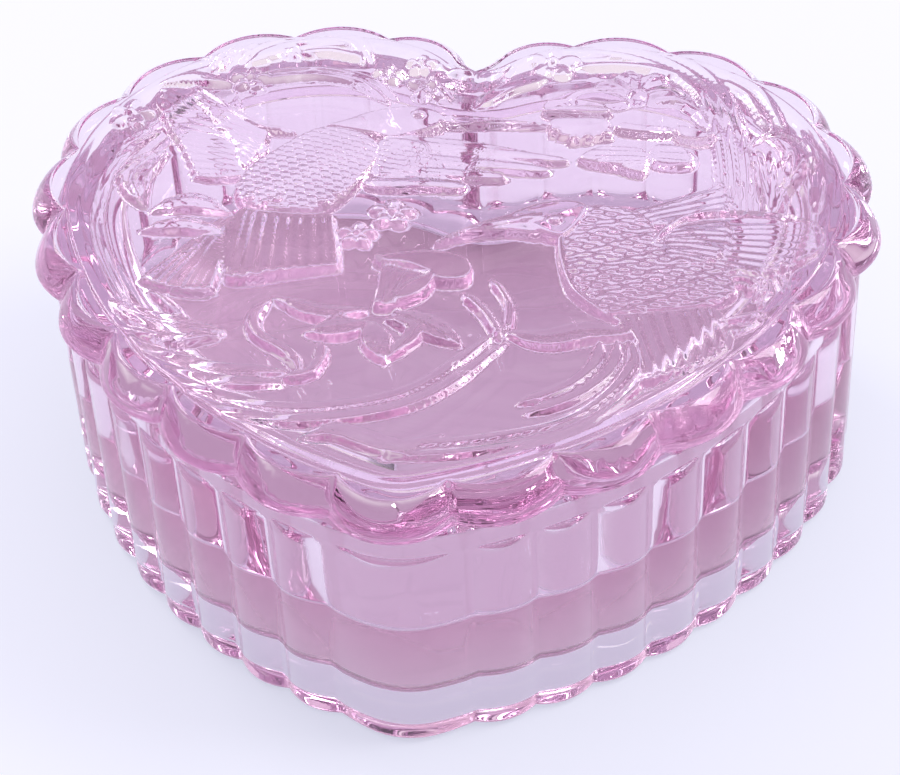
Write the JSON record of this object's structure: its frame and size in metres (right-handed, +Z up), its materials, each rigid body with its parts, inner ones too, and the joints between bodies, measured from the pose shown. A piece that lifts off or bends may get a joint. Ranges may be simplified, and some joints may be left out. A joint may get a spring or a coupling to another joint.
{
  "type": "trinket_box",
  "caption": "Heart-shaped pressed-glass trinket box with fluted sides and a scalloped lift-off lid carrying a bird-and-flower relief.",
  "frame": {"origin": "On the table, under the middle of the lid's outline.", "axes": "+X to the right lobe seen from the tip, +Y from the tip of the heart to its notch, +Z up."},
  "size_m": [0.12, 0.1086, 0.046],
  "materials": {
    "pink_glass": "clear, fire-polished, tinted pink through the body"
  },
  "bodies": {
    "root": {"base": "pink_glass", "lid": "pink_glass"}
  },
  "joints": []
}
